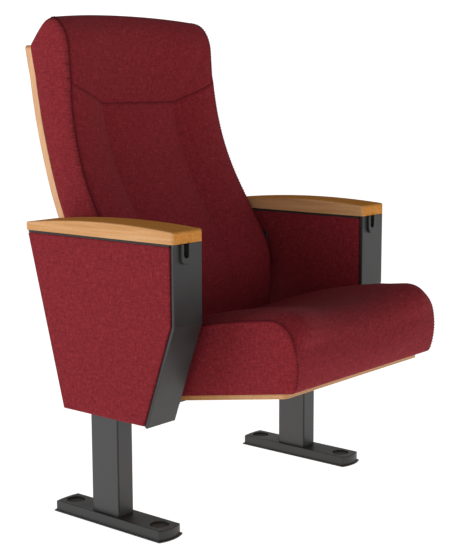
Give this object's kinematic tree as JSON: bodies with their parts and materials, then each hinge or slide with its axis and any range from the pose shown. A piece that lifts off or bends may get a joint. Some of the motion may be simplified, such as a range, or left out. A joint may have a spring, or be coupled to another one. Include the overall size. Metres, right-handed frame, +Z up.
{
  "type": "tip-up auditorium chair",
  "caption": "Tip-up auditorium chair: upholstered box arms with beech caps on steel columns, a tall cushioned back on a plywood shell and a seat that tips up on side pivots.",
  "frame": {"origin": "on the floor, at the middle of the rectangle of four anchor holes, midway between the two feet", "axes": "+Z up; +X to the right of someone facing the chair; the chair faces -Y"},
  "size_m": [0.704, 0.7398, 1.022],
  "materials": {
    "upholstery": "woven burgundy melange upholstery fabric over foam",
    "arm_fabric": "the same burgundy fabric stretched over a board",
    "beech": "clear-lacquered solid beech, satin",
    "plywood": "clear-lacquered beech plywood, satin",
    "dark_steel": "dark grey powder coat, fine texture",
    "dark_moulding": "dark grey moulded plastic, satin",
    "plug_plastic": "brownish black moulded plastic",
    "zinc_steel": "bright zinc-plated fasteners",
    "bright_steel": "ground steel pin",
    "spring_steel": "oiled black spring wire",
    "nylon": "natural nylon",
    "rubber": "black rubber"
  },
  "bodies": {
    "stand": {"base_plate_left": "dark_steel", "base_plate_right": "dark_steel", "foot_cover_left": "dark_moulding", "foot_cover_right": "dark_moulding", "foot_plugs_left": "plug_plastic", "foot_plugs_right": "plug_plastic", "column_left": "dark_steel", "column_right": "dark_steel", "column_top_plate_left": "dark_steel", "column_top_plate_right": "dark_steel", "mount_bars_left": "dark_steel", "mount_bars_right": "dark_steel", "arm_frame_left": "plywood", "arm_frame_right": "plywood", "outer_panel_left": "arm_fabric", "outer_panel_right": "arm_fabric", "inner_panel_left": "arm_fabric", "inner_panel_right": "arm_fabric", "rear_trim_left": "dark_moulding", "rear_trim_right": "dark_moulding", "bottom_trim_left": "dark_moulding", "bottom_trim_right": "dark_moulding", "cap_carrier_left": "dark_moulding", "cap_carrier_right": "dark_moulding", "arm_cap_left": "beech", "arm_cap_right": "beech", "cap_screws_left": "zinc_steel", "cap_screws_right": "zinc_steel", "pivot_bracket_left": "dark_steel", "pivot_bracket_right": "dark_steel", "pivot_bolts_left": "zinc_steel", "pivot_bolts_right": "zinc_steel", "pivot_pin_left": "bright_steel", "pivot_pin_right": "bright_steel", "stop_buffer_left": "rubber", "stop_buffer_right": "rubber", "return_spring_left": "spring_steel", "return_spring_right": "spring_steel", "back_bracket_left": "dark_steel", "back_bracket_right": "dark_steel", "back_bolts_left": "zinc_steel", "back_bolts_right": "zinc_steel", "shell_screws_left": "zinc_steel", "shell_screws_right": "zinc_steel", "front_fascia_left": "dark_moulding", "front_fascia_right": "dark_moulding", "slot_bezel_left": "dark_moulding", "slot_bezel_right": "dark_moulding", "back_shell": "plywood", "back_cushion": "upholstery"},
    "seat": {"pivot_bush_left": "nylon", "pivot_bush_right": "nylon", "side_plate_left": "dark_steel", "side_plate_right": "dark_steel", "seat_base": "plywood", "seat_front_tube": "dark_steel", "seat_rear_tube": "dark_steel", "seat_bolts": "zinc_steel", "seat_cushion": "upholstery"}
  },
  "joints": [
    {"name": "seat_tip", "type": "hinge", "parent": "stand", "child": "seat", "pos_m": [0, -0.055, 0.33], "axis": [-1, 0, 0], "range_deg": [0, 78], "deforming": ["return_spring_left", "return_spring_right"]}
  ]
}
